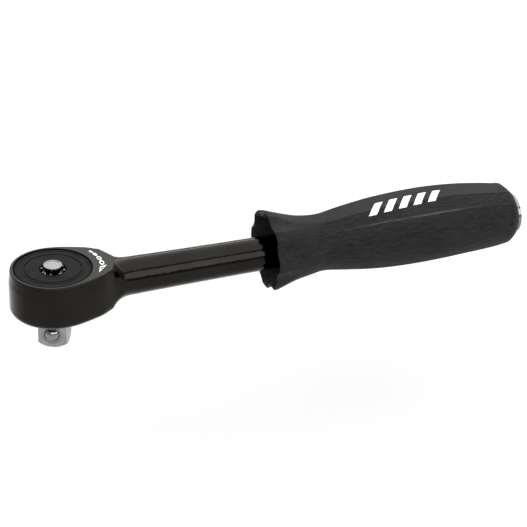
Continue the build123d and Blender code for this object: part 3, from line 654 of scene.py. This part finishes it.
def prism(bm, outline, hole, bottom, top):
    """A flat plate between an outline and a hole with as many corners."""
    rings = []
    for z in (bottom, top):
        for loop in (outline, hole):
            rings.append([bm.verts.new((x, y, z)) for x, y in loop])
    low_out, low_in, high_out, high_in = rings
    count = len(outline)
    for k in range(count):
        j = (k + 1) % count
        bm.faces.new((high_out[k], high_out[j], high_in[j], high_in[k]))
        bm.faces.new((low_out[k], low_in[k], low_in[j], low_out[j]))
        bm.faces.new((low_out[k], low_out[j], high_out[j], high_out[k]))
        bm.faces.new((low_in[k], high_in[k], high_in[j], low_in[j]))


def link_outline(angle, half_width, half_length):
    """An oval on the mark's circle, longer along the circle than across it."""
    points = []
    for k in range(LINK_CORNERS):
        turn = 2 * pi * k / LINK_CORNERS
        along = degrees(half_length * sin(turn) / MARK_R)
        radius = MARK_R + half_width * cos(turn)
        points.append((radius * cos(radians(angle + along)), radius * sin(radians(angle + along))))
    return points


def build_direction_mark():
    """A row of growing links with an arrow head, printed on the head beside the dial."""
    bm = bmesh.new()
    bottom, top = HEAD_TOP - PAINT, HEAD_TOP + PAINT
    for angle, half_width, half_length, hole in MARK_LINKS:
        share = max(hole, SMALLEST_HOLE)
        outer = link_outline(angle, half_width, half_length)
        inner = link_outline(angle, half_width * share, half_length * share)
        prism(bm, outer, inner, bottom, top)
    centre = [sum(p[c] for p in MARK_ARROW) / 3 for c in (0, 1)]
    inner = [tuple(centre[c] + ARROW_HOLE * (p[c] - centre[c]) for c in (0, 1)) for p in MARK_ARROW]
    prism(bm, MARK_ARROW, inner, bottom, top)
    mesh_data = mesh_from(bm, "direction_mark", smooth=False)
    new_piece("direction_mark", mesh_data, mark_paint(), "handle")


def bar_grid(bm, bar, lift):
    """A grid of points over one bar, lifted off the grip's surface: rows round the grip, each along it."""
    across, along = BAR_CELLS_ROUND, BAR_CELLS_ALONG
    x0 = BAR_START + BAR_PITCH * bar
    grid = []
    for i in range(across + 1):
        v = i / across
        angle = BAR_ANGLE + BAR_SWEEP * v + BAR_CLIMB * bar
        row = []
        for j in range(along + 1):
            x = x0 + BAR_WIDTH * j / along + BAR_SLANT * v
            row.append(bm.verts.new(round_point(x, grip_radius(x, angle) + lift, station(x)[2], angle)))
        grid.append(row)
    return grid


def build_grip_mark():
    """Plain slanted bars printed along the top of the grip."""
    bm = bmesh.new()
    across, along = BAR_CELLS_ROUND, BAR_CELLS_ALONG
    edge = [(0, j) for j in range(along)] + [(i, along) for i in range(across)]
    edge += [(across, j) for j in range(along, 0, -1)] + [(i, 0) for i in range(across, 0, -1)]
    for bar in range(BARS):
        top = bar_grid(bm, bar, PAINT)
        bottom = bar_grid(bm, bar, -PAINT)
        for i in range(across):
            for j in range(along):
                bm.faces.new((top[i][j], top[i][j + 1], top[i + 1][j + 1], top[i + 1][j]))
                bm.faces.new((bottom[i][j], bottom[i + 1][j], bottom[i + 1][j + 1], bottom[i][j + 1]))
        for (i, j), (m, n) in zip(edge, edge[1:] + edge[:1]):
            bm.faces.new((top[i][j], bottom[i][j], bottom[m][n], top[m][n]))
    new_piece("grip_mark", mesh_from(bm, "grip_mark"), mark_paint(), "handle")


# ---------------------------------------------------------------- studio
FLOOR_GAP = 0.045
FLOOR_REACH = 3.0
FLOOR_CELLS = 8
# soft boxes, each between two edges given as (y, z) in metres: (name, first edge, second edge, brightness)
BOXES = (
    ("overhead", (0.87, 0.233), (-0.49, 0.755), 1.75),
    ("front", (-0.614, 0.658), (-0.88, 0.187), 2.5),
)
BOX_X = 0.25
BOX_LENGTH = 1.8
SKY_STRENGTH = 0.45


def build_floor():
    """Pale paper a little below the drive square."""
    bm = bmesh.new()
    bmesh.ops.create_grid(bm, x_segments=FLOOR_CELLS, y_segments=FLOOR_CELLS, size=FLOOR_REACH)
    data = bpy.data.meshes.new("floor")
    bm.to_mesh(data)
    bm.free()
    floor = bpy.data.objects.new("floor", data)
    floor.location = (0, 0, cad_box[0][2] - FLOOR_GAP)
    m = Nodes("floor_paper")
    m.set(Roughness=0.9, Specular_IOR_Level=0.0)
    m.vary("Base Color", 3.0, 2.0, (0.60, 0.60, 0.60), (0.62, 0.62, 0.62))
    floor.data.materials.append(m.material)
    bpy.context.collection.objects.link(floor)


def build_lights():
    """Two large soft boxes along the tool, over it and in front of it."""
    for name, (y0, z0), (y1, z1), brightness in BOXES:
        width = sqrt((y1 - y0) ** 2 + (z1 - z0) ** 2)
        across = Vector((0.0, (y1 - y0) / width, (z1 - z0) / width))
        along = Vector((1.0, 0.0, 0.0))
        light = bpy.data.lights.new(name, "AREA")
        light.shape = "RECTANGLE"
        light.size, light.size_y = BOX_LENGTH, width
        light.energy = brightness * pi * width * BOX_LENGTH
        lamp = bpy.data.objects.new(name, light)
        turn = Matrix((-along, across, (-along).cross(across))).transposed().to_4x4()
        lamp.matrix_world = Matrix.Translation((BOX_X, (y0 + y1) / 2, (z0 + z1) / 2)) @ turn
        bpy.context.collection.objects.link(lamp)


def build_sky():
    """A plain white sky, shown with the standard view transform."""
    world = bpy.data.worlds.new("studio")
    world.use_nodes = True
    background = world.node_tree.nodes["Background"]
    background.inputs["Color"].default_value = (1.0, 1.0, 1.0, 1.0)
    background.inputs["Strength"].default_value = SKY_STRENGTH
    bpy.context.scene.world = world
    bpy.context.scene.view_settings.view_transform = "Standard"


place_camera()
finish_nodes()
build_grip()
for spring, values in SPRINGS.items():
    build_spring(spring, **values)
build_direction_mark()
build_grip_mark()
build_floor()
build_lights()
build_sky()
